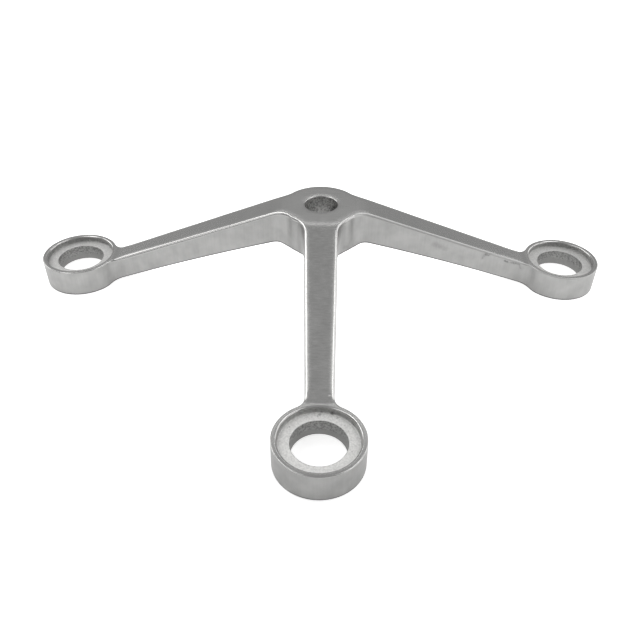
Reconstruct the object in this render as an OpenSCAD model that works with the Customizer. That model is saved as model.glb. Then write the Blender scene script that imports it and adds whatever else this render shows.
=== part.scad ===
// Three-arm glass spider fitting, one piece of cast stainless steel.
// A bored hub carries three arms at right angles; each arm slopes down to a
// bored ring with a round seat for the glass clamp.
// Millimetres. The origin lies on the hub bore's axis in the hub's top face,
// +Z points out of that face, the middle arm runs along -Y and the side arms
// run along +X and -X.

/* [Layout] */
// distance between the axes of neighbouring glass holes
hole_spacing = 200; // [170:1:260]
// height of the hub's top face above the rims of the rings
ring_drop = 34.4; // [26:0.1:44]

/* [Hub] */
// radius of the hub's outer wall
hub_radius = 21.8; // [19:0.1:25]
// thickness of the hub between its top and bottom faces
hub_height = 20.8; // [16:0.1:24]
// diameter of the hole through the hub
hub_bore_diameter = 18.4; // [10:0.1:24]
// how far the hub's underside stands below the roots of the arms
hub_pad = 1.2; // [0:0.1:2]
// roundness of the hub bore's top edge
hub_mouth_round = 0.6; // [0.3:0.1:1]
// radius of the hollow corner between the hub and an arm
hub_fillet = 14; // [8:0.5:15]

/* [Arms] */
// width of an arm where it leaves the hub
root_width = 18.2; // [14:0.1:20]
// width of an arm where it meets its ring
tip_width = 13.6; // [10:0.1:14]
// distance from the hub axis at which the top of an arm starts to slope
top_crease = 23; // [21:0.1:26]
// half the length over which that crease is softened
top_crease_softness = 4.5; // [1:0.1:5]
// distance from the hub axis at which the underside of an arm starts to slope
under_crease = 25.6; // [22:0.1:30]
// how far past the ring's edge the underside slope runs out
under_run = 4; // [2:0.1:7]
// how far the underside of an arm hollows upward midway along it
under_hollow = 1.1; // [0:0.1:2]
// half the length over which the other creases are softened
crease_softness = 2; // [0.5:0.1:3]
// roundness of the top edges of the hub and arms
edge_round = 1.5; // [0.5:0.1:2.5]
// roundness of the bottom edges
under_edge_round = 0.5; // [0.2:0.1:1]

/* [Rings] */
// radius of a ring's outer wall
ring_radius = 21; // [20.5:0.1:24]
// height of a ring between its two rims
ring_height = 15.2; // [12:0.1:18]
// diameter of the hole through a ring
ring_bore_diameter = 25.4; // [18:0.1:28]
// diameter of the seat sunk into a ring
seat_diameter = 36.7; // [30:0.1:37.5]
// depth of the seat below the rim
seat_depth = 3.2; // [1:0.1:4]
// radius of the hollow corner between an arm and a ring
ring_fillet = 7; // [3:0.5:8]
// gap between the foot of the arm's top slope and the ring's outer wall
slope_foot_gap = 0.8; // [0:0.1:2]
// roundness of the rim's outer edge
rim_round = 0.5; // [0.3:0.1:1]
// roundness of the rim's inner edge
rim_mouth_round = 0.9; // [0.3:0.1:1.2]

/* [Hidden] */
$fn = 96;

arm_length = hole_spacing / sqrt(2);
arm_turns = [0, 180, 270];
cut_over = 1;

// heights measured from the hub's top face
rim_level = -ring_drop;
ring_foot_level = rim_level - ring_height;
hub_foot_level = -hub_height;

// slopes of the two long faces of an arm
top_foot = arm_length - ring_radius - slope_foot_gap;
top_slope = ring_drop / (top_foot - top_crease);
arm_root_level = hub_foot_level + hub_pad;
under_foot = arm_length - ring_radius + under_run;
under_slope = (arm_root_level - ring_foot_level) / (under_foot - under_crease);

// where the pad under the hub begins and ends its rise to the arm's root
pad_start = hub_radius * 0.83;
pad_end = under_crease - crease_softness;

// the sides of an arm close in towards the ring by this angle
taper = (root_width - tip_width) / 2 / (arm_length - ring_radius - hub_radius);
taper_angle = atan(taper);
side_gap = (root_width / 2 + taper * hub_radius) * cos(taper_angle);

// steps used to draw the curves of half an arm's plan
hub_arc_steps = 3;
hub_fillet_steps = 18;
side_steps = 12;
ring_fillet_steps = 8;
ring_arc_steps = 32;
back_arc_steps = 20;
round_steps = 5;
under_round_steps = 3;

// a point given by its run along the arm's side line and its distance from it
function off_side(run, gap) = [
    run * cos(taper_angle) + gap * sin(taper_angle),
    gap * cos(taper_angle) - run * sin(taper_angle)
];

// centres of the two hollow corners on one side of an arm
hub_hollow = off_side(
    sqrt(pow(hub_radius + hub_fillet, 2) - pow(side_gap + hub_fillet, 2)),
    side_gap + hub_fillet
);
ring_hollow = off_side(
    arm_length * cos(taper_angle) - sqrt(
        pow(ring_radius + ring_fillet, 2)
        - pow(side_gap + ring_fillet - arm_length * sin(taper_angle), 2)
    ),
    side_gap + ring_fillet
);

// where the curves of the plan begin and end
hub_arc_end = atan2(hub_hollow[1], hub_hollow[0]);
side_turn = 270 - taper_angle;
ring_arc_start = atan2(ring_hollow[1], ring_hollow[0] - arm_length);

// one plan point: place along the arm, place across it, outward direction
function bulge(centre, radius, turn) = [
    centre[0] + radius * cos(turn), centre[1] + radius * sin(turn), cos(turn), sin(turn)
];
function hollow(centre, radius, turn) = [
    centre[0] + radius * cos(turn), centre[1] + radius * sin(turn), -cos(turn), -sin(turn)
];
side_start = hollow(hub_hollow, hub_fillet, side_turn);
side_end = hollow(ring_hollow, ring_fillet, side_turn);

// half the plan of an arm, from midway between two arms out to the ring's tip
half_plan = concat(
    [for (i = [0 : hub_arc_steps])
        bulge([0, 0], hub_radius, 45 + (hub_arc_end - 45) * i / hub_arc_steps)],
    [for (i = [1 : hub_fillet_steps])
        hollow(hub_hollow, hub_fillet,
            180 + hub_arc_end + (side_turn - 180 - hub_arc_end) * i / hub_fillet_steps)],
    [for (i = [1 : side_steps]) side_start + (side_end - side_start) * i / side_steps],
    [for (i = [1 : ring_fillet_steps])
        hollow(ring_hollow, ring_fillet,
            side_turn + (ring_arc_start + 180 - side_turn) * i / ring_fillet_steps)],
    [for (i = [1 : ring_arc_steps])
        bulge([arm_length, 0], ring_radius, ring_arc_start * (1 - i / ring_arc_steps))]
);
half_count = len(half_plan);

// a corner softened over a length of 2 * softness
function ramp(place, corner, softness) =
    place <= corner - softness ? 0 :
    place >= corner + softness ? place - corner :
    pow(place - corner + softness, 2) / (4 * softness);
function top_level(place) = -top_slope * (
    ramp(place, top_crease, top_crease_softness) - ramp(place, top_foot, crease_softness)
);
function under_level(place) = hub_foot_level
    + hub_pad * ease(place, pad_start, pad_end)
    + under_hollow * arch(place, under_crease, under_foot)
    - under_slope * (
        ramp(place, under_crease, crease_softness) - ramp(place, under_foot, crease_softness)
    );

// from 0 to 1 between two places, leaving and arriving level
function share(place, start, end) = min(1, max(0, (place - start) / (end - start)));
function ease(place, start, end) = (1 - cos(180 * share(place, start, end))) / 2;
// from 0 up to 1 midway and back to 0
function arch(place, start, end) = 4 * share(place, start, end) * (1 - share(place, start, end));

// the top edge is rounder along the arms than around the rings
round_change = arm_length - ring_radius;
function top_round(place) = edge_round
    + (rim_round - edge_round) * ease(place, round_change - 8, round_change + 6);

// the section of the outer skin: how far each course stands in from the wall,
// and how far it lies below the top or above the bottom
courses = concat(
    [for (i = [0 : round_steps]) [0, 90 * i / round_steps]],
    [for (i = [0 : under_round_steps]) [1, 90 * i / under_round_steps]]
);
course_count = len(courses);

function set_in(point, depth) = [point[0] - depth * point[2], point[1] - depth * point[3]];
function course_depth(course, place) = course[0] == 0
    ? top_round(place) * (1 - sin(course[1]))
    : under_edge_round * (1 - cos(course[1]));
function course_level(course, place) = course[0] == 0
    ? top_level(place) - top_round(place) * (1 - cos(course[1]))
    : under_level(place) + under_edge_round * (1 - sin(course[1]));

// a point of the skin on one side (1 or -1) of the arm that points along turn
function skin_point(point, course, turn, side) =
    let (inset = set_in(point, course_depth(course, point[0])))
    [
        inset[0] * cos(turn) - side * inset[1] * sin(turn),
        inset[0] * sin(turn) + side * inset[1] * cos(turn),
        course_level(course, inset[0])
    ];

// one course all the way round, anticlockwise from the tip of the +X arm
function course_loop(course) = concat(
    [for (i = [half_count - 1 : -1 : 0]) skin_point(half_plan[i], course, 0, 1)],
    [for (i = [1 : back_arc_steps - 1])
        skin_point(bulge([0, 0], hub_radius, 45 + 90 * i / back_arc_steps), course, 0, 1)],
    [for (i = [0 : half_count - 1]) skin_point(half_plan[i], course, 180, -1)],
    [for (i = [half_count - 2 : -1 : 0]) skin_point(half_plan[i], course, 180, 1)],
    [for (i = [1 : half_count - 1]) skin_point(half_plan[i], course, 270, -1)],
    [for (i = [half_count - 2 : -1 : 0]) skin_point(half_plan[i], course, 270, 1)],
    [for (i = [1 : half_count - 2]) skin_point(half_plan[i], course, 0, -1)]
);
loops = [for (course = courses) course_loop(course)];
loop_count = len(loops[0]);

// places in the loop of the three ring tips and of the four corners of the hub
right_tip = 0;
back_right = half_count - 1;
back_left = back_right + back_arc_steps;
left_tip = back_left + half_count - 1;
front_left = left_tip + half_count - 1;
front_tip = front_left + half_count - 1;
front_right = front_tip + half_count - 1;

// first plan point from which a face reaches straight across the arm
function first_past(reach, i = 0) = half_plan[i][0] > reach ? i : first_past(reach, i + 1);
bridge = first_past(hub_radius * 0.72);
hub_side = half_count - 1 - bridge;

// strips across one arm between the two corners nearest its ring's tip
function arm_strips(tip) = concat(
    [for (i = [1 : hub_side - 1]) let (a = tip - i, b = tip + i)
        [wrap(a), wrap(b), wrap(b + 1), wrap(a - 1)]],
    [[wrap(tip), wrap(tip + 1), wrap(tip - 1)]]
);
function wrap(i) = (i + loop_count) % loop_count;

// the hub's face is a fan around its centre, closed by the arms' first strips
hub_rim = concat(
    [for (i = [right_tip + hub_side : left_tip - hub_side]) i],
    [for (i = [left_tip + hub_side : front_tip - hub_side]) i],
    [for (i = [front_tip + hub_side : loop_count - hub_side]) i]
);
hub_fan = [for (i = [0 : len(hub_rim) - 1]) [hub_rim[i], hub_rim[(i + 1) % len(hub_rim)]]];
arm_cover = concat(
    arm_strips(right_tip), arm_strips(left_tip), arm_strips(front_tip)
);

module outer_body() {
    last = (course_count - 1) * loop_count;
    top_centre = course_count * loop_count;
    skin_points = concat(
        [for (loop = loops) each loop],
        [[0, 0, 0], [0, 0, hub_foot_level]]
    );
    skin_faces = concat(
        [for (j = [0 : course_count - 2]) for (i = [0 : loop_count - 1])
            let (k = (i + 1) % loop_count, u = j * loop_count, d = u + loop_count)
            each [[u + i, d + i, d + k], [u + i, d + k, u + k]]],
        [for (edge = hub_fan) [top_centre, edge[1], edge[0]]],
        [for (face = arm_cover) [for (i = [len(face) - 1 : -1 : 0]) face[i]]],
        [for (edge = hub_fan) [top_centre + 1, last + edge[0], last + edge[1]]],
        [for (face = arm_cover) [for (i = face) last + i]]
    );
    polyhedron(points = skin_points, faces = skin_faces, convexity = 6);
}

// the hole through the hub, opening out at the top in a small round
module hub_hole() {
    radius = hub_bore_diameter / 2;
    translate([0, 0, hub_foot_level - cut_over])
        cylinder(r = radius, h = hub_height + 2 * cut_over);
    mouth(radius, hub_mouth_round, 0);
}

// the waste removed by rounding the edge of a hole of this radius
module mouth(radius, roundness, level) {
    translate([0, 0, level - roundness])
        difference() {
            cylinder(r = radius + roundness, h = roundness + cut_over);
            rotate_extrude()
                translate([radius + roundness, 0])
                    circle(r = roundness);
        }
}

// the hole and the two seats of a ring, with the rim's inner edge rounded
module ring_hole() {
    translate([0, 0, ring_foot_level - cut_over])
        cylinder(d = ring_bore_diameter, h = ring_height + 2 * cut_over);
    translate([0, 0, rim_level - seat_depth])
        cylinder(d = seat_diameter, h = seat_depth + cut_over);
    translate([0, 0, ring_foot_level - cut_over])
        cylinder(d = seat_diameter, h = seat_depth + cut_over);
    mouth(seat_diameter / 2, rim_mouth_round, rim_level);
}

module spider_casting() {
    color("silver")
        difference() {
            outer_body();
            hub_hole();
            for (turn = arm_turns)
                rotate([0, 0, turn])
                    translate([arm_length, 0, 0])
                        ring_hole();
        }
}

spider_casting();
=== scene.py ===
import math
import random

import bmesh
import bpy
import numpy as np
from mathutils import Matrix, Vector
from mathutils.geometry import intersect_point_line
from mathutils.kdtree import KDTree


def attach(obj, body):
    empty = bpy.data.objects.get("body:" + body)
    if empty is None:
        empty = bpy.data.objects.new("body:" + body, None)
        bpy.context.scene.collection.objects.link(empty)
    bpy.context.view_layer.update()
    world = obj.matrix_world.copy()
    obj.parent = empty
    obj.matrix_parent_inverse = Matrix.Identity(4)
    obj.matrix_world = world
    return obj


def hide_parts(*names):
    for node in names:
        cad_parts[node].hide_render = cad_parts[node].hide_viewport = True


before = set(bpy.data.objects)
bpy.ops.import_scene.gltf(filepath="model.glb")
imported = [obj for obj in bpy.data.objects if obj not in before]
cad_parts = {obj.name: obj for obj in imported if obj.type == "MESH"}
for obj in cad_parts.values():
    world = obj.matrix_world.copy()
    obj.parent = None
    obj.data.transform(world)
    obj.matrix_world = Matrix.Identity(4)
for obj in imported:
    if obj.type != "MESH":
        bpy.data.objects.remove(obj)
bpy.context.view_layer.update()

mm = 0.001
print("frame loaded:", ", ".join(sorted(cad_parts)))

# lengths of the casting in millimetres, angles in degrees
casting = {
    "holeSpacing": 200,
    "ringDrop": 34.4,  # hub top face above the ring rims
    "hubRadius": 21.8,
    "hubHeight": 20.8,
    "hubPad": 1.2,  # hub underside below the arm roots
    "hubBore": 18.4,
    "hubFillet": 14,
    "hubMouthRound": 0.6,
    "rootWidth": 18.2,
    "tipWidth": 13.6,
    "topCrease": 23,
    "topCreaseSoftness": 4.5,
    "underCrease": 25.6,
    "underRun": 4,
    "underHollow": 1.1,
    "padShare": 0.83,  # share of the hub's radius where its pad begins to run out
    "creaseSoftness": 2,
    "edgeRound": 1.5,
    "underEdgeRound": 0.5,
    "ringRadius": 21,
    "ringHeight": 15.2,
    "ringBore": 25.4,
    "seatDiameter": 36.7,
    "seatDepth": 3.2,
    "ringFillet": 7,
    "slopeFootGap": 0.8,
    "rimRound": 0.5,
    "rimMouthRound": 0.9,
    "boreEdgeRound": 0.25,
    "seatCornerRound": 0.3,
}

# how finely the mesh follows those curves
fineness = {
    "hubArc": 6,
    "hubFillet": 26,
    "side": 66,
    "ringFillet": 14,
    "ringArc": 54,
    "backArc": 36,
    "acrossArm": 20,
    "round": 8,
    "wall": 9,
    "underRound": 4,
    "rim": 5,
    "mouth": 6,
    "seatWall": 3,
    "seatFloor": 9,
    "corner": 3,
    "bore": 8,
    "hubFace": 16,
    "underWall": 2,
    "underFloor": 5,
    "sharpAngle": 40,  # degrees, edges that turn more than this are shaded sharp
    "closingRing": 0.2,  # millimetres, width of the last ring of faces underneath
    "mouthClear": 0.45,  # millimetres between the last row across an arm and the seat's mouth
}

# traces of grinding and polishing by hand, and where two bands of painted shade begin, in millimetres;
# slopes have no unit
handWork = {
    "seed": 7,
    "wavePaces": (0.6, 1.7),  # slowest and quickest wave against the one its length would give
    "leastWeight": 0.4,
    "edgeVary": 0.10,  # the polished edge widens and narrows
    "edgeWave": 30,
    "rollWidth": 2.6,  # the top faces roll off towards their edges
    "rollTurn": 0.18,  # and reach this slope where the round begins
    "rimRollWidth": 1.1,  # the same on the rings' rims
    "rimRollTurn": 0.12,
    "mouthRollWidth": 2.6,  # and round the hub's hole
    "mouthRollTurn": 0.20,
    "wallDip": 0.03,  # shallow hollows along the walls
    "wallWave": 22,
    "wallLean": 6,  # how far the waves lean over the height of a wall
    "filletDip": 0.10,  # deeper ones in the hub's hollow corners
    "filletWave": 6.5,
    "filletLean": 2,
    "faceDip": 0.02,  # and on the long faces of the arms
    "faceWave": 16,
    "faceLean": 9,
    "armShift": 300,  # sets the waves of the arms apart
    "footShadeFrom": 0.98,  # below this share of the wall the foot begins, a dark band of painted shade along the bottom edges
    "roughShadedFrom": 18,  # from here on the right arm's near edge is rougher and painted a little darker, as shade where less light falls
}

# where along an arm one form gives way to the next, in millimetres
blends = {
    "varyStart": (15.6, 21),  # from the hub's axis
    "dipStart": (15.6, 19),
    "hollowCorner": (27, 36),
    "faceDipStart": (18, 30),
    "faceDipEnd": (-8, -1),  # from the foot of the slope
    "rimRound": (-8, 6),  # from the ring's near side
    "varyEnd": (-4, 6),
    "rimRoll": (-10, 3),
    "dipEnd": (-4, 8),  # from the ring's axis
}

# places across the skin that the brushing follows, in millimetres from the top border
layPlan = {
    "wallStart": 2.4,
    "wallLength": 20,
    "footStart": 23,
}

armLength = casting["holeSpacing"] / math.sqrt(2)
ringSide = armLength - casting["ringRadius"]
rimLevel = -casting["ringDrop"]
ringFoot = rimLevel - casting["ringHeight"]
hubFoot = -casting["hubHeight"]
topFoot = ringSide - casting["slopeFootGap"]
topSlope = casting["ringDrop"] / (topFoot - casting["topCrease"])
underFoot = ringSide + casting["underRun"]
underSlope = (hubFoot + casting["hubPad"] - ringFoot) / (underFoot - casting["underCrease"])
taper = (casting["rootWidth"] - casting["tipWidth"]) / 2 / (ringSide - casting["hubRadius"])
taperAngle = math.atan(taper)
sideGap = (casting["rootWidth"] / 2 + taper * casting["hubRadius"]) * math.cos(taperAngle)


def share(place, start, end):
    return min(1.0, max(0.0, (place - start) / (end - start)))


def blend(low, high, part):
    return low + (high - low) * part


def ease(place, start, end):
    return (1 - math.cos(math.pi * share(place, start, end))) / 2


def arch(place, start, end):
    return 4 * share(place, start, end) * (1 - share(place, start, end))


def ramp(place, corner, softness):
    if place <= corner - softness:
        return 0.0
    if place >= corner + softness:
        return place - corner
    return (place - corner + softness) ** 2 / (4 * softness)


def topLevel(place):
    return -topSlope * (ramp(place, casting["topCrease"], casting["topCreaseSoftness"])
                        - ramp(place, topFoot, casting["creaseSoftness"]))


def underLevel(place):
    padStart = casting["hubRadius"] * casting["padShare"]
    padEnd = casting["underCrease"] - casting["creaseSoftness"]
    return (hubFoot
            + casting["hubPad"] * ease(place, padStart, padEnd)
            + casting["underHollow"] * arch(place, casting["underCrease"], underFoot)
            - underSlope * (ramp(place, casting["underCrease"], casting["creaseSoftness"])
                            - ramp(place, underFoot, casting["creaseSoftness"])))


# a few sine waves round one length, each with its own pace, start and weight
def makeWaves(seed, length, count=5):
    rng = random.Random(seed)
    paces, leastWeight = handWork["wavePaces"], handWork["leastWeight"]
    return [(rng.uniform(*paces) * math.tau / length, rng.uniform(0, math.tau), rng.uniform(leastWeight, 1))
            for _ in range(count)]


# between -1 and 1
def wave(waves, x, y=0.0, slant=0.7):
    total = sum(weight * math.sin(pace * (x + slant * y) + start) for pace, start, weight in waves)
    return total / sum(weight for _, _, weight in waves)


# the same between 0 and 1
def swell(waves, x, y=0.0):
    return 0.5 + 0.5 * wave(waves, x, y)


edgeWaves = makeWaves(handWork["seed"], handWork["edgeWave"])
wallWaves = makeWaves(handWork["seed"] + 1, handWork["wallWave"])
filletWaves = makeWaves(handWork["seed"] + 2, handWork["filletWave"], 4)
faceWaves = makeWaves(handWork["seed"] + 3, handWork["faceWave"])


# how far a place is through one of the blends that are measured from a point on the arm
def through(place, name, origin=0.0):
    start, end = blends[name]
    return ease(place, origin + start, origin + end)


def topRound(place, run):
    radius = blend(casting["edgeRound"], casting["rimRound"], through(place, "rimRound", ringSide))
    vary = through(place, "varyStart") * (1 - through(place, "varyEnd", ringSide))
    return radius + handWork["edgeVary"] * vary * wave(edgeWaves, run)


# width and last slope of the rolled-off border of the top face
def rollOff(place):
    onRing = through(place, "rimRoll", ringSide)
    return (blend(handWork["rollWidth"], handWork["rimRollWidth"], onRing),
            blend(handWork["rollTurn"], handWork["rimRollTurn"], onRing))


# a place given along and away from the arm's side, which closes in towards the ring
def offSide(run, gap):
    return (run * math.cos(taperAngle) + gap * math.sin(taperAngle),
            gap * math.cos(taperAngle) - run * math.sin(taperAngle))


# the plan of half an arm: place along it, place across it, outward direction
def planHalfArm():
    hubR, hubF = casting["hubRadius"], casting["hubFillet"]
    ringR, ringF = casting["ringRadius"], casting["ringFillet"]
    hubHollow = offSide(math.sqrt((hubR + hubF) ** 2 - (sideGap + hubF) ** 2), sideGap + hubF)
    reach = math.sqrt((ringR + ringF) ** 2
                      - (sideGap + ringF - armLength * math.sin(taperAngle)) ** 2)
    ringHollow = offSide(armLength * math.cos(taperAngle) - reach, sideGap + ringF)
    hubEnd = math.atan2(hubHollow[1], hubHollow[0])
    sideTurn = 1.5 * math.pi - taperAngle
    ringStart = math.atan2(ringHollow[1], ringHollow[0] - armLength)

    def bulge(centre, radius, turn):
        c, s = math.cos(turn), math.sin(turn)
        return (centre[0] + radius * c, centre[1] + radius * s, c, s)

    def hollow(centre, radius, turn):
        c, s = math.cos(turn), math.sin(turn)
        return (centre[0] + radius * c, centre[1] + radius * s, -c, -s)

    plan = []
    n = fineness["hubArc"]
    plan += [bulge((0, 0), hubR, math.pi / 4 + (hubEnd - math.pi / 4) * i / n) for i in range(n + 1)]
    firstCross = len(plan) - 1
    n = fineness["hubFillet"]
    plan += [hollow(hubHollow, hubF, math.pi + hubEnd + (sideTurn - math.pi - hubEnd) * i / n)
             for i in range(1, n + 1)]
    a = hollow(hubHollow, hubF, sideTurn)
    b = hollow(ringHollow, ringF, sideTurn)
    n = fineness["side"]
    plan += [tuple(a[k] + (b[k] - a[k]) * i / n for k in range(4)) for i in range(1, n + 1)]
    n = fineness["ringFillet"]
    plan += [hollow(ringHollow, ringF, sideTurn + (ringStart + math.pi - sideTurn) * i / n)
             for i in range(1, n + 1)]
    n = fineness["ringArc"]
    plan += [bulge((armLength, 0), ringR, ringStart * (1 - i / n)) for i in range(1, n + 1)]
    return plan, firstCross


halfPlan, firstCross = planHalfArm()
mouthReach = casting["seatDiameter"] / 2 + casting["rimMouthRound"]
lastPlace = armLength - mouthReach - fineness["mouthClear"]
lastCross = max(i for i, p in enumerate(halfPlan) if p[0] < lastPlace)
tip = len(halfPlan) - 1

# run of the outline, so that marks along it have an even size
planRun = [0.0]
for p, q in zip(halfPlan, halfPlan[1:]):
    planRun.append(planRun[-1] + math.hypot(q[0] - p[0], q[1] - p[1]))

armTurns = [0, math.pi, 1.5 * math.pi]  # right, left and middle arm
frontArm = 2
backRun = casting["hubRadius"] * math.pi / 2
armRun = [0, 2 * planRun[-1] + backRun, 4 * planRun[-1] + backRun]  # run at each ring's tip
wholeRun = 6 * planRun[-1] + backRun

points, grains, faces, zones, lays = [], [], [], [], []
zoneNames = ["top", "sideTop", "frontTop", "wall", "edge", "roughShadedEdge", "mouth", "foot",
             "seat", "shadedSideSeat", "seatWall", "bore", "hubBore"]
zone = {name: i for i, name in enumerate(zoneNames)}


def addPoint(turn, s, t, level, grain):
    c, n = math.cos(turn), math.sin(turn)
    points.append((s * c - t * n, s * n + t * c, level))
    grains.append(grain)
    return len(points) - 1


def addFace(corners, name, lay="skin"):
    faces.append(tuple(corners))
    zones.append(zone[name])
    lays.append(lay)


wallSteps = [k / fineness["wall"] for k in range(1, fineness["wall"])] + [handWork["footShadeFrom"]]


# one column of the outer skin, from the top face's border down to the bottom face's;
# put(depth, level, grain) adds a point that deep inside the outline
def addColumn(put, run, radius, roll, dipAt):
    width, slope = roll
    low = casting["underEdgeRound"]
    fall = width * math.tan(slope) / 2 + radius * math.cos(slope)
    column = []
    for k in range(fineness["round"] + 1):
        a = slope + (math.pi / 2 - slope) * k / fineness["round"]
        column.append(put(radius * (1 - math.sin(a)),
                          lambda s: topLevel(s) - fall + radius * math.cos(a),
                          (run, radius * a, 1)))
    for f in wallSteps:
        column.append(put(dipAt(f),
                          lambda s: blend(topLevel(s) - fall, underLevel(s) + low, f),
                          (run, layPlan["wallStart"] + layPlan["wallLength"] * f, 1)))
    for k in range(fineness["underRound"], -1, -1):
        a = math.pi / 2 * k / fineness["underRound"]
        column.append(put(low * (1 - math.sin(a)),
                          lambda s: underLevel(s) + low * (1 - math.cos(a)),
                          (run, layPlan["footStart"] + low * a, 1)))
    return column


def armColumn(arm, side, index):
    s, t, nx, ny = halfPlan[index]
    run = armRun[arm] + side * (planRun[-1] - planRun[index])
    nearHub = 1 - through(s, "hollowCorner")
    fade = through(s, "dipStart") * (1 - through(s, "dipEnd", armLength))

    def put(depth, level, grain):
        inS, inT = s - depth * nx, (t - depth * ny) * side
        return addPoint(armTurns[arm], inS, inT, level(inS), grain)

    def dipAt(f):
        depth = handWork["wallDip"] * swell(wallWaves, run, handWork["wallLean"] * f)
        depth += handWork["filletDip"] * nearHub * swell(filletWaves, run, handWork["filletLean"] * f)
        return depth * fade * math.sin(math.pi * f)

    return addColumn(put, run, topRound(s, run), rollOff(s), dipAt)


# the hub's round back has no arm
def backColumn(index):
    turn = math.pi / 4 + math.pi / 2 * index / fineness["backArc"]
    run = planRun[-1] + casting["hubRadius"] * (turn - math.pi / 4)
    fade = math.sin(math.pi * index / fineness["backArc"])
    radius = casting["edgeRound"] + handWork["edgeVary"] * fade * wave(edgeWaves, run)

    def put(depth, level, grain):
        return addPoint(turn, casting["hubRadius"] - depth, 0, level(0), grain)

    def dipAt(f):
        depth = handWork["wallDip"] * swell(wallWaves, run, handWork["wallLean"] * f)
        return depth * fade * math.sin(math.pi * f)

    return addColumn(put, run, radius, rollOff(0), dipAt)


# columns round the whole outline, anticlockwise from the tip of the first arm
outline = []


def addArmSide(arm, side, indices):
    for i in indices:
        outline.append(((arm, side, i), armColumn(arm, side, i), rollOff(halfPlan[i][0])))


addArmSide(0, 1, range(tip, -1, -1))
for index in range(1, fineness["backArc"]):
    outline.append((("back", 0, index), backColumn(index), rollOff(0)))
addArmSide(1, -1, range(0, tip + 1))
addArmSide(1, 1, range(tip - 1, -1, -1))
addArmSide(2, -1, range(1, tip + 1))
addArmSide(2, 1, range(tip - 1, -1, -1))
addArmSide(0, -1, range(1, tip))
columns = {key: column for key, column, _ in outline}
columns[(2, -1, 0)] = columns[(1, 1, 0)]  # neighbouring arms share the column between them
columns[(0, -1, 0)] = columns[(2, 1, 0)]
for arm in range(3):
    columns[(arm, 1, tip)] = columns.get((arm, 1, tip)) or columns[(arm, -1, tip)]
    columns[(arm, -1, tip)] = columns[(arm, 1, tip)]

rows = len(outline[0][1])


# which finish a row of the skin has; the foot rows are painted dark, as shade along the bottom edges
def skinZone(row, roughShaded):
    if row < fineness["round"]:
        return "roughShadedEdge" if roughShaded else "edge"
    return "wall" if row < rows - 2 - fineness["underRound"] else "foot"


for j, ((arm, side, index), column, _) in enumerate(outline):
    after = outline[(j + 1) % len(outline)][1]
    # the right arm's near edge is rougher and painted a little darker as shade
    roughShaded = arm == 0 and side < 0 and halfPlan[index][0] > handWork["roughShadedFrom"]
    for k in range(rows - 1):
        addFace((column[k], column[k + 1], after[k + 1], after[k]), skinZone(k, roughShaded))


# the long faces of the arms, row by row across
def crossRow(arm, index, top):
    left = columns[(arm, 1, index)][0 if top else -1]
    right = columns[(arm, -1, index)][0 if top else -1]
    a, b = Vector(points[right]), Vector(points[left])
    s = halfPlan[index][0]
    fade = through(s, "faceDipStart") * (1 - through(s, "faceDipEnd", topFoot))
    depth = handWork["faceDip"] * fade * (1 if top else -1)
    shift = s + handWork["armShift"] * arm
    level = topLevel if top else underLevel
    row = [right]
    for k in range(1, fineness["acrossArm"]):
        f = ease(k, 0, fineness["acrossArm"])  # closer together near the edges
        p = a.lerp(b, f)
        dip = math.sin(math.pi * f) * swell(faceWaves, shift, handWork["faceLean"] * f)
        place = p.x * math.cos(armTurns[arm]) + p.y * math.sin(armTurns[arm])
        points.append((p.x, p.y, level(place) - depth * dip))
        grains.append(None)
        row.append(len(points) - 1)
    row.append(left)
    return row


# the brushing runs across each arm
def layOf(arm):
    return "alongY" if arm == frontArm else "alongX"


crossRows = {}
for arm in range(3):
    for top in (True, False):
        made = [crossRow(arm, i, top) for i in range(firstCross, lastCross + 1)]
        crossRows[(arm, top)] = made
        face = "wall"
        if top:
            face = "frontTop" if arm == frontArm else "sideTop"
        for near, far in zip(made, made[1:]):
            for k in range(fineness["acrossArm"]):
                quad = (near[k], far[k], far[k + 1], near[k + 1])
                addFace(quad if top else quad[::-1], face, layOf(arm))


# rings of quads from a loop of points to circles round a hole; each stop gives the radius and level
# of its circle for a place in the loop, and where it gives no level the face's own level is taken
def spin(loop, centre, stops, name, level=None, flip=False, lay="skin"):
    turns = [math.atan2(points[i][1] - centre[1], points[i][0] - centre[0]) for i in loop]
    reach = [math.hypot(points[i][1] - centre[1], points[i][0] - centre[0]) for i in loop]
    last = loop
    for stop in stops:
        current = []
        for a, r in zip(turns, reach):
            radius, z = stop(r)
            x, y = centre[0] + radius * math.cos(a), centre[1] + radius * math.sin(a)
            points.append((x, y, level(x, y) if z is None else z))
            grains.append((radius * a, z if z is not None else 0, radius))
            current.append(len(points) - 1)
        for k in range(len(loop)):
            m = (k + 1) % len(loop)
            quad = (last[k], last[m], current[m], current[k])
            addFace(quad[::-1] if flip else quad, name, lay)
        last = current
    return last


# two loops that lie in one plane are joined by a last ring of quads
def closeGap(inner, outer, name, lay):
    for k in range(len(inner)):
        m = (k + 1) % len(inner)
        addFace((inner[k], inner[m], outer[m], outer[k]), name, lay)


def between(start, count, end):
    return [start + (end - start) * i / count for i in range(1, count + 1)]


# the mouth of a hole, rounded from a face of that slope into the hole's wall
def roundOver(radius, roundness, level, count, slope=0.0):
    steps = []
    for i in range(1, count + 1):
        a = slope + (math.pi / 2 - slope) * i / count
        steps.append((radius + roundness * (1 - math.sin(a)),
                      level - roundness * (math.cos(slope) - math.cos(a))))
    return steps


def quarterTurns(count):
    return [math.pi / 2 * i / count for i in range(1, count + 1)]


def circleStops(pairs):
    return [lambda r, p=p: p for p in pairs]


def faceStops(end, count):
    return [lambda r, f=ease(i, 0, count): (r + (end - r) * f, None) for i in range(1, count + 1)]


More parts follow.
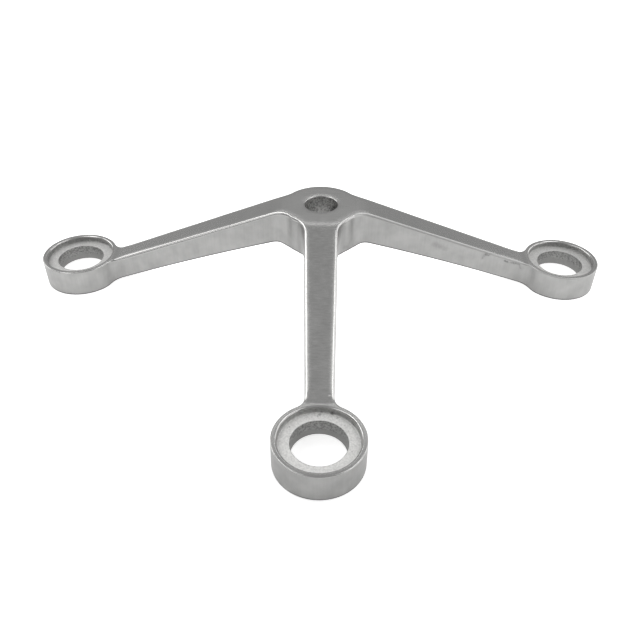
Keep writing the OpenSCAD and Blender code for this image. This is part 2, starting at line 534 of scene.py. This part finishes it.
# the hub: its top face, bore and underside
def hubLoop(top):
    pick = 0 if top else -1
    loop = []
    loop += [columns[(0, 1, i)][pick] for i in range(firstCross, -1, -1)]
    loop += [columns[("back", 0, i)][pick] for i in range(1, fineness["backArc"])]
    loop += [columns[(1, -1, i)][pick] for i in range(0, firstCross)]
    loop += crossRows[(1, top)][0][:-1]
    loop += [columns[(1, 1, i)][pick] for i in range(firstCross, 0, -1)]
    loop += [columns[(2, -1, i)][pick] for i in range(0, firstCross)]
    loop += crossRows[(2, top)][0][:-1]
    loop += [columns[(2, 1, i)][pick] for i in range(firstCross, 0, -1)]
    loop += [columns[(0, -1, i)][pick] for i in range(0, firstCross)]
    loop += crossRows[(0, top)][0][:-1]
    return loop


def buildHub():
    axis = (0, 0)
    bore = casting["hubBore"] / 2
    mouth, small = casting["hubMouthRound"], casting["boreEdgeRound"]
    slope = handWork["mouthRollTurn"]
    fall = handWork["mouthRollWidth"] * math.tan(slope) / 2
    toMouth = faceStops(bore + mouth * (1 - math.sin(slope)), fineness["hubFace"])
    last = spin(hubLoop(True), axis, toMouth, "top", lambda x, y: 0.0, lay="alongY")
    last = spin(last, axis, circleStops(roundOver(bore, mouth, -fall, fineness["mouth"], slope)), "edge")
    levels = between(-fall - mouth * math.cos(slope), fineness["bore"] * 2, hubFoot + small)
    hole = [(bore, z) for z in levels] + [(bore + small, hubFoot)]
    last = spin(last, axis, circleStops(hole), "hubBore")
    toHole = faceStops(bore + small + fineness["closingRing"], fineness["hubFace"])
    below = spin(hubLoop(False), axis, toHole, "wall", lambda x, y: hubFoot, True, "alongY")
    closeGap(last, below, "wall", "alongY")


def ringLoop(arm, top):
    pick = 0 if top else -1
    loop = [columns[(arm, -1, i)][pick] for i in range(lastCross, tip)]
    loop += [columns[(arm, 1, i)][pick] for i in range(tip, lastCross, -1)]
    loop += crossRows[(arm, top)][-1][::-1][:-1]
    return loop


def buildRing(arm):
    turn = armTurns[arm]
    centre = (armLength * math.cos(turn), armLength * math.sin(turn))
    seat, bore = casting["seatDiameter"] / 2, casting["ringBore"] / 2
    mouth, corner, small = casting["rimMouthRound"], casting["seatCornerRound"], casting["boreEdgeRound"]
    floor = rimLevel - casting["seatDepth"]
    floorBelow = ringFoot + casting["seatDepth"]

    def levelOf(level):
        return lambda x, y: level(x * math.cos(turn) + y * math.sin(turn))

    toMouth = faceStops(seat + mouth, fineness["rim"])
    last = spin(ringLoop(arm, True), centre, toMouth, "top", levelOf(topLevel), lay=layOf(arm))
    last = spin(last, centre, circleStops(roundOver(seat, mouth, rimLevel, fineness["mouth"])), "mouth")
    walls = [(seat, z) for z in between(rimLevel - mouth, fineness["seatWall"], floor + corner)]
    walls += [(seat - corner * (1 - math.cos(a)), floor + corner * (1 - math.sin(a)))
              for a in quarterTurns(fineness["corner"])]
    last = spin(last, centre, circleStops(walls), "seatWall")
    ground = [(r, floor) for r in between(seat - corner, fineness["seatFloor"], bore + small)]
    # the side rings' seats take a darker copy of the seat, painted shade
    last = spin(last, centre, circleStops(ground), "seat" if arm == frontArm else "shadedSideSeat")
    hole = [(bore + small * (1 - math.sin(a)), floor - small * (1 - math.cos(a)))
            for a in quarterTurns(fineness["corner"])]
    hole += [(bore, z) for z in between(floor - small, fineness["bore"], floorBelow + small)]
    hole.append((bore + small, floorBelow))
    last = spin(last, centre, circleStops(hole), "bore")
    toSeat = faceStops(seat, fineness["rim"])
    below = spin(ringLoop(arm, False), centre, toSeat, "wall", levelOf(underLevel), True, layOf(arm))
    start = ringFoot + casting["underEdgeRound"]
    walls = [(seat, z) for z in between(start, fineness["underWall"], floorBelow)]
    below = spin(below, centre, circleStops(walls), "bore", flip=True)
    end = bore + small + fineness["closingRing"]
    ground = [(r, floorBelow) for r in between(seat, fineness["underFloor"], end)]
    below = spin(below, centre, circleStops(ground), "seat", flip=True)
    closeGap(last, below, "seat", "alongX")


# how far a face has sunk at a distance from where its rolled-off border ends
def sunk(distance, width, slope):
    return width * math.tan(slope) / 2 * (1 - share(distance, 0, width)) ** 2


# the top faces sink towards the outline and towards the hub's hole
def rollTopFaces():
    rim = [column[0] for _, column, _ in outline]
    flat = [Vector(points[i][:2]) for i in rim]
    finder = KDTree(len(rim))
    for i, p in enumerate(flat):
        finder.insert((p.x, p.y, 0), i)
    finder.balance()
    mouthWidth, mouthSlope = handWork["mouthRollWidth"], handWork["mouthRollTurn"]
    mouthStart = casting["hubBore"] / 2 + casting["hubMouthRound"] * (1 - math.sin(mouthSlope))
    rolled = {zone[name] for name in ("top", "sideTop", "frontTop")}
    inTop = {i for face, kind in zip(faces, zones) if kind in rolled for i in face} - set(rim)
    for i in inTop:
        x, y, z = points[i]
        p = Vector((x, y))
        near = finder.find((x, y, 0))[1]
        gaps = []
        for other in (near - 1, (near + 1) % len(rim)):
            foot, part = intersect_point_line(p, flat[near], flat[other])
            foot = flat[near] if part < 0 else foot.to_2d()
            gaps.append((p - foot).length)
        drop = sunk(min(gaps), *outline[near][2])
        drop += sunk(p.length - mouthStart, mouthWidth, mouthSlope)
        points[i] = (x, y, z - drop)


buildHub()
for arm in range(3):
    buildRing(arm)
rollTopFaces()
print("casting laid out:", len(points), "points")


# the place in the brushing of each face's corners, the same on both sides of the outline's start
def cornerGrains(mesh):
    laid = []
    for polygon, lay in zip(mesh.polygons, lays):
        corners = [mesh.loops[i].vertex_index for i in polygon.loop_indices]
        if lay == "alongX":
            laid += [(points[i][0], points[i][1], 0) for i in corners]
        elif lay == "alongY":
            laid += [(points[i][1], points[i][0], 0) for i in corners]
        else:
            own = [grains[i] or (points[i][0], points[i][1], 0) for i in corners]
            middle = own[0][0]
            laid += [(g[0] + wholeRun * round((middle - g[0]) / wholeRun), g[1], g[2]) for g in own]
    return laid


def makeCasting():
    mesh = bpy.data.meshes.new("spiderCasting")
    mesh.from_pydata([(x * mm, y * mm, z * mm) for x, y, z in points], [], faces)
    shape = bmesh.new()
    shape.from_mesh(mesh)
    bmesh.ops.recalc_face_normals(shape, faces=shape.faces)
    shape.to_mesh(mesh)
    shape.free()
    grain = mesh.attributes.new("grainPlace", "FLOAT_VECTOR", "CORNER")
    grain.data.foreach_set("vector", np.array(cornerGrains(mesh), np.float32).ravel())
    mesh.polygons.foreach_set("use_smooth", [True] * len(mesh.polygons))
    mesh.set_sharp_from_angle(angle=math.radians(fineness["sharpAngle"]))
    piece = bpy.data.objects.new("spiderCasting", mesh)
    bpy.context.scene.collection.objects.link(piece)
    level = piece.modifiers.new("flatFaces", "WEIGHTED_NORMAL")
    level.keep_sharp = True
    return piece


spiderCasting = makeCasting()
print("casting made:", len(spiderCasting.data.polygons), "faces")


def newGroup(name, inputs, outputs):
    group = bpy.data.node_groups.new(name, "ShaderNodeTree")
    for label, kind, value in inputs:
        made = group.interface.new_socket(label, in_out="INPUT", socket_type=kind)
        if value is not None:
            made.default_value = value
    for label, kind in outputs:
        group.interface.new_socket(label, in_out="OUTPUT", socket_type=kind)
    return group, group.nodes.new("NodeGroupInput"), group.nodes.new("NodeGroupOutput")


def node(tree, kind, links=(), **values):
    made = tree.nodes.new(kind)
    for key, value in values.items():
        if key.startswith("in_"):
            key = key[3:]
            made.inputs[int(key) if key.isdigit() else key].default_value = value
        else:
            setattr(made, key, value)
    for target, source in dict(links).items():
        tree.links.new(source, made.inputs[target])
    return made


def maths(tree, operation, a, b=None):
    made = tree.nodes.new("ShaderNodeMath")
    made.operation = operation
    for i, value in enumerate((a, b)):
        if value is None:
            continue
        if isinstance(value, (int, float)):
            made.inputs[i].default_value = value
        else:
            tree.links.new(value, made.inputs[i])
    return made.outputs[0]


def spread(tree, value, low, high, toLow, toHigh):
    made = node(tree, "ShaderNodeMapRange", {0: value}, clamp=True)
    for i, v in zip((1, 2, 3, 4), (low, high, toLow, toHigh)):
        if isinstance(v, (int, float)):
            made.inputs[i].default_value = v
        else:
            tree.links.new(v, made.inputs[i])
    return made.outputs[0]


# the belt's lines: broad streaks are slower than the fine lines by these factors along each way
beltLines = {
    "fine": dict(in_Detail=2.0, in_Roughness=0.55),
    "broad": dict(in_Detail=2.0, in_Roughness=0.5),
    "broadPace": (0.11, 0.7, 1),
}


# fine lines left by a belt, running across the place along the part
def makeGrainGroup():
    group, given, out = newGroup("beltGrain", [
        ("Place", "NodeSocketVector", None),
        ("Lines", "NodeSocketFloat", 1.6),
        ("Stretch", "NodeSocketFloat", 0.05),
    ], [("Grain", "NodeSocketFloat"), ("Streak", "NodeSocketFloat")])
    parts = node(group, "ShaderNodeSeparateXYZ", {0: given.outputs["Place"]})
    across = maths(group, "MULTIPLY", parts.outputs[0], given.outputs["Lines"])
    along = maths(group, "MULTIPLY", parts.outputs[1], given.outputs["Stretch"])
    joined = node(group, "ShaderNodeCombineXYZ", {0: across, 1: along, 2: parts.outputs[2]})
    fine = node(group, "ShaderNodeTexNoise", {"Vector": joined.outputs[0]},
                in_Scale=1.0, **beltLines["fine"])
    slow = node(group, "ShaderNodeVectorMath", {0: joined.outputs[0]},
                operation="MULTIPLY", in_1=beltLines["broadPace"])
    broad = node(group, "ShaderNodeTexNoise", {"Vector": slow.outputs[0]},
                 in_Scale=1.0, **beltLines["broad"])
    group.links.new(fine.outputs[0], out.inputs["Grain"])
    group.links.new(broad.outputs[0], out.inputs["Streak"])
    return group


# a cast skin; the shares are against the size of its bumps
castPits = {
    "bumps": dict(in_Detail=3.0, in_Roughness=0.6),
    "mottle": dict(in_Detail=4.0, in_Roughness=0.65),
    "mottleShare": 0.7,
    "speckShare": 0.55,
    "speckEdge": (0.16, 0.42),  # from the dark middle of a speck to its rim
    "speckDepth": 1.4,
}


# pits and specks of a cast skin
def makeCastGroup():
    group, given, out = newGroup("castSkin", [
        ("Size", "NodeSocketFloat", 900.0),
        ("Specks", "NodeSocketFloat", 0.5),
    ], [("Height", "NodeSocketFloat"), ("Dirt", "NodeSocketFloat"), ("Mottle", "NodeSocketFloat")])
    where = node(group, "ShaderNodeTexCoord").outputs["Object"]
    size = given.outputs["Size"]
    bumps = node(group, "ShaderNodeTexNoise", {"Vector": where, "Scale": size}, **castPits["bumps"])
    speckSize = maths(group, "MULTIPLY", size, castPits["speckShare"])
    cells = node(group, "ShaderNodeTexVoronoi", {"Vector": where, "Scale": speckSize}, in_Randomness=1.0)
    chosen = node(group, "ShaderNodeSeparateColor", {0: cells.outputs["Color"]})
    start = maths(group, "SUBTRACT", 1.0, given.outputs["Specks"])
    rare = spread(group, chosen.outputs[0], start, 1.0, 0.0, 1.0)
    spot = spread(group, cells.outputs["Distance"], *castPits["speckEdge"], 1.0, 0.0)
    dirt = maths(group, "MULTIPLY", rare, spot)
    mottleSize = maths(group, "MULTIPLY", size, castPits["mottleShare"])
    mottle = node(group, "ShaderNodeTexNoise", {"Vector": where, "Scale": mottleSize}, **castPits["mottle"])
    pits = maths(group, "MULTIPLY", dirt, castPits["speckDepth"])
    group.links.new(maths(group, "SUBTRACT", bumps.outputs[0], pits), out.inputs["Height"])
    group.links.new(dirt, out.inputs["Dirt"])
    group.links.new(mottle.outputs[0], out.inputs["Mottle"])
    return group


# marks of use, and the painted shade of a dent: start and end in millimetres, half width, strength
marksAndShade = {
    "stray": 2.2,  # how far a mark may stray from its straight line
    "straySize": 520.0,
    "grit": 1300,
    "gritSpread": (0.35, 0.6, 0.45, 1.0),  # noise from and to, strength from and to
    "core": 0.35,  # share of the half width that has the full strength
    "dark": [
        ((1.4, -123.3, -37.6), (1.4, -122.9, -37.6), 0.75, 1.0),  # pits at the back of the front seat
        ((5.3, -124.1, -37.6), (6.3, -124.4, -37.6), 0.95, 1.0),
        ((-0.6, -125.8, -37.6), (0.5, -124.6, -37.6), 0.7, 0.45),
        ((8.1, -126.9, -37.6), (8.1, -126.9, -37.6), 0.55, 0.7),
        ((11.2, -131.4, -37.6), (11.2, -131.4, -37.6), 0.5, 0.6),
        ((12.9, -134.7, -37.6), (12.9, -134.7, -37.6), 0.55, 0.55),
        ((-13.2, -132.6, -37.6), (-13.2, -132.6, -37.6), 0.5, 0.6),
        ((95.2, -7.35, -27.7), (96.3, -7.35, -28.0), 1.3, 1.0),  # scuffs on the side of the right arm
        ((94.4, -7.4, -28.0), (93.4, -7.4, -30.2), 0.9, 0.55),
        ((106.3, -7.1, -31.9), (108.9, -7.1, -33.2), 0.8, 1.0),
        ((108.9, -7.1, -33.2), (111.8, -7.0, -33.3), 0.65, 1.0),
        ((111.8, -7.0, -33.3), (115.4, -6.9, -34.7), 0.65, 0.9),
        ((115.4, -6.9, -34.7), (117.0, -6.9, -37.3), 0.7, 0.45),
        ((64.4, -8.1, -20.6), (71.5, -7.9, -23.5), 2.2, 0.32),
        ((79.5, -7.7, -29.5), (81.5, -7.7, -31.0), 2.6, 0.18),
        ((12.9, -17.8, -17.5), (15.2, -15.6, -18.9), 1.6, 0.36),  # painted shade of a small dent in the hub's front corner
        ((149.9, 9.5, -38.4), (150.6, 9.1, -44.0), 0.45, 0.6),  # seam in the right ring's hole
        ((8.7, 2.8, -2.8), (6.2, 6.8, -8.0), 1.7, 0.8),  # dark patch in the hub's hole
    ],
    "light": [
        ((4.5, -117.0, -33.5), (4.5, -117.0, -33.5), 0.6, 1.0),  # nick near the front ring
        ((102.2, -2.9, -28.4), (102.2, -2.9, -28.4), 0.6, 0.8),
    ],
}


# how far a place is from the line between two ends
def distanceTo(group, where, start, end):
    a, b = Vector(start) * mm, Vector(end) * mm
    path = b - a
    away = node(group, "ShaderNodeVectorMath", {0: where}, operation="SUBTRACT", in_1=a)
    if path.length > 0:
        along = node(group, "ShaderNodeVectorMath", {0: away.outputs[0]},
                     operation="DOT_PRODUCT", in_1=path / path.length_squared)
        held = spread(group, along.outputs["Value"], 0.0, 1.0, 0.0, 1.0)
        foot = node(group, "ShaderNodeVectorMath", {"Scale": held}, operation="SCALE", in_0=path)
        away = node(group, "ShaderNodeVectorMath", {0: away.outputs[0], 1: foot.outputs[0]},
                    operation="SUBTRACT")
    return node(group, "ShaderNodeVectorMath", {0: away.outputs[0]}, operation="LENGTH").outputs["Value"]


def makeMarksGroup():
    group, given, out = newGroup("marksAndShade", [("Strength", "NodeSocketFloat", 1.0)],
                                 [("Dark", "NodeSocketFloat"), ("Light", "NodeSocketFloat")])
    where = node(group, "ShaderNodeTexCoord").outputs["Object"]
    stray = node(group, "ShaderNodeTexNoise", {"Vector": where},
                 in_Scale=marksAndShade["straySize"], in_Detail=2.0)
    centred = node(group, "ShaderNodeVectorMath", {0: stray.outputs["Color"]},
                   operation="SUBTRACT", in_1=(0.5, 0.5, 0.5))
    shift = node(group, "ShaderNodeVectorMath", {0: centred.outputs[0]},
                 operation="SCALE", in_Scale=marksAndShade["stray"] * mm)
    moved = node(group, "ShaderNodeVectorMath", {0: where, 1: shift.outputs[0]}, operation="ADD")
    grit = node(group, "ShaderNodeTexNoise", {"Vector": where}, in_Scale=marksAndShade["grit"], in_Detail=3.0)
    uneven = spread(group, grit.outputs[0], *marksAndShade["gritSpread"])
    for label in ("dark", "light"):
        total = None
        for start, end, width, strength in marksAndShade[label]:
            gap = distanceTo(group, moved.outputs[0], start, end)
            one = spread(group, gap, marksAndShade["core"] * width * mm, width * mm, strength, 0.0)
            total = one if total is None else maths(group, "MAXIMUM", total, one)
        shown = maths(group, "MULTIPLY", maths(group, "MULTIPLY", total, uneven), given.outputs["Strength"])
        group.links.new(shown, out.inputs[label.capitalize()])
    return group


beltGrain = makeGrainGroup()
castSkin = makeCastGroup()
useMarksAndShade = makeMarksGroup()

steel = {
    "tint": (1.0, 0.997, 0.982),
    "noiseRange": (0.36, 0.64),
    "fineShare": 0.6,  # the rest of the lines are broad streaks
    "brushDepth": 0.2,  # millimetres
    "castDepth": 0.3,
    "brushedMarks": (0.55, 0.35),  # what a dark mark leaves of the tone, what a light one adds
    "castMarks": (0.30, 0.0),
    "markRough": 0.15,
    "castTone": 0.7,  # of a cast skin between its patches
    "castPatch": 0.3,  # how far the patches go up and down from there
    "castSpeck": 0.15,  # what the middle of a speck leaves of the tone
    "castRoughRange": (0.3, 0.7),
}

# tone and rough: from the darkest to the lightest place; lines: for each millimetre; stretch: the
# lower, the longer the lines; mottle: share of cloudiness in the polish; cloud: its fineness
brushedSteel = {
    "top": dict(tone=(0.450, 0.490), rough=(0.23, 0.27), lines=0.85, stretch=0.05,
                bump=0.0, mottle=0.2, cloud=70),
    "sideTop": dict(tone=(0.455, 0.480), rough=(0.243, 0.257), lines=0.55, stretch=0.04,
                    bump=0.0, mottle=0.35, cloud=70),
    "frontTop": dict(tone=(0.436, 0.506), rough=(0.24, 0.262), lines=1.3, stretch=0.24,
                     bump=0.0, mottle=0.15, cloud=70),
    "wall": dict(tone=(0.350, 0.440), rough=(0.32, 0.38), lines=1.0, stretch=0.04,
                 bump=0.03, mottle=0.62, cloud=150),
    "edge": dict(tone=(0.465, 0.495), rough=(0.22, 0.25), lines=0.9, stretch=0.03,
                 bump=0.0, mottle=0.5, cloud=110),
    "mouth": dict(tone=(0.490, 0.520), rough=(0.14, 0.16), lines=0.9, stretch=0.03,
                  bump=0.0, mottle=0.5, cloud=110),
    # painted shade: a rougher copy of the edge, painted a little darker, for the right arm's near edge
    "roughShadedEdge": dict(tone=(0.450, 0.475), rough=(0.42, 0.45), lines=0.9, stretch=0.03,
                     bump=0.0, mottle=0.5, cloud=110),
}

# specks: share of cells with a dark speck; patchy: the smaller, the stronger the patches;
# cutBelow: level in millimetres under which the skin has been cut away
castSteelAndShade = {
    "seat": dict(tone=(0.54, 0.88), rough=(0.60, 0.72), size=1700, specks=0.09, patchy=0.15,
                 bump=0.30),
    # painted shade: the side rings' seats are the seat painted darker, as less light falls into them
    "shadedSideSeat": dict(tone=(0.43, 0.71), rough=(0.60, 0.72), size=1700, specks=0.09, patchy=0.13,
                     bump=0.30),
    "bore": dict(tone=(0.11, 0.46), rough=(0.45, 0.58), size=1500, specks=0.2, patchy=0.07,
                 bump=0.40, cutBelow=-42.6),
    "seatWall": dict(tone=(0.14, 0.48), rough=(0.45, 0.58), size=1100, specks=0.22, patchy=0.15,
                     bump=0.35),
    "hubBore": dict(tone=(0.06, 0.58), rough=(0.45, 0.58), size=1500, specks=0.4, patchy=0.09,
                    bump=0.55),
    # painted shade: the foot is a dark band along the bottom edges, standing in for the dark floor they
    # mirror
    "foot": dict(tone=(0.07, 0.15), rough=(0.5, 0.6), size=1100, specks=0.22, patchy=0.15,
                 bump=0.2),
}

# where the cast skin of a hole has been cut away
cutEdge = {
    "never": -100,  # lower than anything on the casting
    "uneven": 1.2,  # millimetres up and down
    "unevenSize": 240.0,
    "unevenRange": (0.3, 0.7),
    "soft": 0.7,  # half of its width, in millimetres
    "left": 0.12,  # share of the patches and specks left on the cut part
}


def newMaterial(name):
    made = bpy.data.materials.new(name)
    made.use_nodes = True
    tree = made.node_tree
    shader = tree.nodes["Principled BSDF"]
    shader.inputs["Metallic"].default_value = 1.0
    return made, tree, shader


def mix(tree, one, other, otherShare):
    return maths(tree, "ADD", maths(tree, "MULTIPLY", one, 1 - otherShare),
                 maths(tree, "MULTIPLY", other, otherShare))


def steelColour(tree, tone, low, high, marks, darkest, lightest):
    level = spread(tree, tone, 0.0, 1.0, low, high)
    level = maths(tree, "MULTIPLY", level, spread(tree, marks.outputs["Dark"], 0.0, 1.0, 1.0, darkest))
    level = maths(tree, "ADD", level, maths(tree, "MULTIPLY", marks.outputs["Light"], lightest))
    tinted = node(tree, "ShaderNodeVectorMath", {"Scale": level}, operation="SCALE", in_0=steel["tint"])
    return tinted.outputs[0]


def makeBrushed(name, look):
    made, tree, shader = newMaterial(name)
    grainPlace = node(tree, "ShaderNodeAttribute", attribute_name="grainPlace").outputs["Vector"]
    grain = node(tree, "ShaderNodeGroup", node_tree=beltGrain)
    tree.links.new(grainPlace, grain.inputs["Place"])
    grain.inputs["Lines"].default_value = look["lines"]
    grain.inputs["Stretch"].default_value = look["stretch"]
    where = node(tree, "ShaderNodeTexCoord").outputs["Object"]
    cloud = node(tree, "ShaderNodeTexNoise", {"Vector": where}, in_Scale=look["cloud"], in_Detail=4.0)
    marks = node(tree, "ShaderNodeGroup", node_tree=useMarksAndShade)
    lined = mix(tree, grain.outputs["Streak"], grain.outputs["Grain"], steel["fineShare"])
    both = mix(tree, lined, cloud.outputs[0], look["mottle"])
    tone = spread(tree, both, *steel["noiseRange"], 0.0, 1.0)
    colour = steelColour(tree, tone, *look["tone"], marks, *steel["brushedMarks"])
    tree.links.new(colour, shader.inputs["Base Color"])
    rough = spread(tree, both, *steel["noiseRange"], *look["rough"])
    scuffed = maths(tree, "MULTIPLY", marks.outputs["Dark"], steel["markRough"])
    tree.links.new(maths(tree, "ADD", rough, scuffed), shader.inputs["Roughness"])
    if look["bump"]:
        bump = node(tree, "ShaderNodeBump", {"Height": grain.outputs["Grain"]},
                    in_Strength=look["bump"], in_Distance=steel["brushDepth"] * mm)
        tree.links.new(bump.outputs[0], shader.inputs["Normal"])
    return made


# how much of the cast skin is left at a place
def skinLeftAbove(tree, cutBelow):
    where = node(tree, "ShaderNodeTexCoord").outputs["Object"]
    level = node(tree, "ShaderNodeSeparateXYZ", {0: where}).outputs["Z"]
    noise = node(tree, "ShaderNodeTexNoise", {"Vector": where},
                 in_Scale=cutEdge["unevenSize"], in_Detail=2.0)
    sway = cutEdge["uneven"] * mm
    edge = maths(tree, "ADD", level, spread(tree, noise.outputs[0], *cutEdge["unevenRange"], -sway, sway))
    low, high = (cutBelow - cutEdge["soft"]) * mm, (cutBelow + cutEdge["soft"]) * mm
    return spread(tree, edge, low, high, cutEdge["left"], 1.0)


def makeCast(name, look):
    made, tree, shader = newMaterial(name)
    skin = node(tree, "ShaderNodeGroup", node_tree=castSkin)
    skin.inputs["Size"].default_value = look["size"]
    skin.inputs["Specks"].default_value = look["specks"]
    marks = node(tree, "ShaderNodeGroup", node_tree=useMarksAndShade)
    skinLeft = skinLeftAbove(tree, look.get("cutBelow", cutEdge["never"]))
    low, high = 0.5 - look["patchy"], 0.5 + look["patchy"]
    mottle = spread(tree, skin.outputs["Mottle"], low, high, -steel["castPatch"], steel["castPatch"])
    tone = maths(tree, "ADD", maths(tree, "MULTIPLY", mottle, skinLeft), steel["castTone"])
    dirt = maths(tree, "MULTIPLY", skin.outputs["Dirt"], skinLeft)
    tone = maths(tree, "MULTIPLY", tone, spread(tree, dirt, 0.0, 1.0, 1.0, steel["castSpeck"]))
    colour = steelColour(tree, tone, *look["tone"], marks, *steel["castMarks"])
    tree.links.new(colour, shader.inputs["Base Color"])
    rough = spread(tree, skin.outputs["Mottle"], *steel["castRoughRange"], *look["rough"])
    tree.links.new(rough, shader.inputs["Roughness"])
    bump = node(tree, "ShaderNodeBump", {"Height": skin.outputs["Height"]},
                in_Strength=look["bump"], in_Distance=steel["castDepth"] * mm)
    tree.links.new(bump.outputs[0], shader.inputs["Normal"])
    return made


finishes = {
    "top": makeBrushed("brushedHub", brushedSteel["top"]),
    "sideTop": makeBrushed("brushedSideArm", brushedSteel["sideTop"]),
    "frontTop": makeBrushed("brushedFrontArm", brushedSteel["frontTop"]),
    "wall": makeBrushed("groundWall", brushedSteel["wall"]),
    "edge": makeBrushed("polishedEdge", brushedSteel["edge"]),
    "roughShadedEdge": makeBrushed("roughShadedEdge", brushedSteel["roughShadedEdge"]),
    "mouth": makeBrushed("polishedMouth", brushedSteel["mouth"]),
    "foot": makeCast("footShadeLine", castSteelAndShade["foot"]),
    "seat": makeCast("blastedSeat", castSteelAndShade["seat"]),
    "shadedSideSeat": makeCast("blastedShadedSideSeat", castSteelAndShade["shadedSideSeat"]),
    "seatWall": makeCast("castSeatWall", castSteelAndShade["seatWall"]),
    "bore": makeCast("castBore", castSteelAndShade["bore"]),
    "hubBore": makeCast("castHubBore", castSteelAndShade["hubBore"]),
}
for name in zoneNames:
    spiderCasting.data.materials.append(finishes[name])
spiderCasting.data.polygons.foreach_set("material_index", zones)
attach(spiderCasting, "root")
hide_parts("spider_casting")
print("finishes on")

# angles in degrees, place in metres
view = {
    "focus": 38.145,  # lens length in millimetres
    "sensor": 36,  # its width, also in millimetres
    "near": 0.01,
    "down": 38.469,
    "roll": -0.729,
    "turn": 0.167,
    "place": (-0.000858, -0.336067, 0.184186),
}


def makeCamera():
    down, roll, turn = (math.radians(view[k]) for k in ("down", "roll", "turn"))
    level = Vector((math.cos(turn), -math.sin(turn), 0))
    upright = Vector((math.sin(down) * math.sin(turn), math.sin(down) * math.cos(turn), math.cos(down)))
    ahead = Vector((math.cos(down) * math.sin(turn), math.cos(down) * math.cos(turn), -math.sin(down)))
    right = math.cos(roll) * level - math.sin(roll) * upright
    up = math.sin(roll) * level + math.cos(roll) * upright
    data = bpy.data.cameras.new("camera")
    data.lens = view["focus"]
    data.sensor_width = view["sensor"]
    data.clip_start = view["near"]
    camera = bpy.data.objects.new("camera", data)
    camera.matrix_world = Matrix.Translation(Vector(view["place"])) @ Matrix(
        (right, up, -ahead)).transposed().to_4x4()
    bpy.context.scene.collection.objects.link(camera)
    bpy.context.scene.camera = camera


# angles in degrees, lengths in metres unless said otherwise
studio = {
    "floorTone": 0.90,
    "floorRough": 0.9,
    "floorSheen": 0.1,
    "floorSize": 6.0,
    "floorGap": 0.02,  # millimetres under the rings, so that the two faces never coincide
    # the floor glows by its own emission, no lamp, brighter in the middle; it lights the casting from below
    # so that shadows stay faint: y and strength, in front and in the middle
    "floorGlow": ((-0.20, 0.12), (-0.05, 0.40)),
    "glowEnds": (0.9, 1.4),
    "glowSeen": 0.38,  # painted light: extra glow that the camera alone sees, over and above that, which whitens the shadows on the floor
    "sky": 0.44,
    "aim": (0, -0.05, -0.03),
    # name: turn from straight behind to the right, height angle, distance, width, height, power
    "lamps": {
        "leftPanel": (300, 30, 1.5, 0.7, 0.75, 3.8),
        "leftHigh": (298, 58, 1.5, 0.6, 0.4, 2.2),
        "leftOver": (270, 64, 1.5, 0.8, 0.5, 1.5),
        "frontLeft": (228, 38, 1.5, 0.7, 0.6, 1.6),
        "rightLow": (61, 16, 1.5, 0.8, 0.65, 2.5),
        "rightMid": (75, 36, 1.5, 0.8, 0.4, 1.15),
        "rightHigh": (62, 56, 1.5, 0.6, 0.4, 1.6),
        "rightOver": (90, 64, 1.5, 0.8, 0.5, 2.0),
        "rightSide": (98, 14, 1.5, 0.8, 0.5, 1.6),
        "rightFront": (121, 14, 1.5, 0.5, 0.5, 1.4),
        "backMid": (0, 36, 1.5, 1.2, 0.25, 0.2),
        "backTube": (3, 46, 1.5, 1.2, 0.1, 0.6),
    },
}


def floorMaterial():
    made = bpy.data.materials.new("paleFloor")
    made.use_nodes = True
    tree = made.node_tree
    shader = tree.nodes["Principled BSDF"]
    shader.inputs["Base Color"].default_value = (studio["floorTone"],) * 3 + (1,)
    shader.inputs["Roughness"].default_value = studio["floorRough"]
    shader.inputs["Specular IOR Level"].default_value = studio["floorSheen"]
    shader.inputs["Emission Color"].default_value = (1, 1, 1, 1)
    where = node(tree, "ShaderNodeTexCoord").outputs["Object"]
    depth = node(tree, "ShaderNodeSeparateXYZ", {0: where}).outputs["Y"]
    (front, low), (middle, high) = studio["floorGlow"]
    reach = node(tree, "ShaderNodeVectorMath", {0: where}, operation="LENGTH").outputs["Value"]
    fade = spread(tree, reach, *studio["glowEnds"], 1.0, 0.0)
    glow = spread(tree, depth, front, middle, low, high)
    # painted light: a glow on the floor that only the camera sees
    seen = node(tree, "ShaderNodeLightPath").outputs["Is Camera Ray"]
    total = maths(tree, "ADD", maths(tree, "MULTIPLY", glow, fade),
                  maths(tree, "MULTIPLY", seen, studio["glowSeen"]))
    tree.links.new(total, shader.inputs["Emission Strength"])
    return made


def makeFloor():
    half = studio["floorSize"] / 2
    level = (ringFoot - studio["floorGap"]) * mm
    corners = [(-half, -half), (half, -half), (half, half), (-half, half)]
    mesh = bpy.data.meshes.new("floor")
    mesh.from_pydata([(x, y, level) for x, y in corners], [], [(0, 1, 2, 3)])
    mesh.materials.append(floorMaterial())
    floor = bpy.data.objects.new("floor", mesh)
    bpy.context.scene.collection.objects.link(floor)


def makeLight():
    world = bpy.data.worlds.new("studio")
    world.use_nodes = True
    sky = world.node_tree.nodes["Background"]
    sky.inputs["Color"].default_value = (1, 1, 1, 1)
    sky.inputs["Strength"].default_value = studio["sky"]
    bpy.context.scene.world = world
    bpy.context.scene.view_settings.view_transform = "Standard"
    aim = Vector(studio["aim"])
    for name, (turn, up, away, wide, high, power) in studio["lamps"].items():
        turn, up = math.radians(turn), math.radians(up)
        ray = Vector((math.sin(turn) * math.cos(up), math.cos(turn) * math.cos(up), math.sin(up)))
        data = bpy.data.lights.new(name, "AREA")
        data.shape = "RECTANGLE"
        data.size, data.size_y = wide, high
        data.energy = power
        lamp = bpy.data.objects.new(name, data)
        lamp.location = aim + ray * away
        lamp.rotation_euler = (-ray).to_track_quat("-Z", "Y").to_euler()
        bpy.context.scene.collection.objects.link(lamp)


makeCamera()
makeFloor()
makeLight()
print("camera, floor and light placed")

bpy.context.view_layer.update()
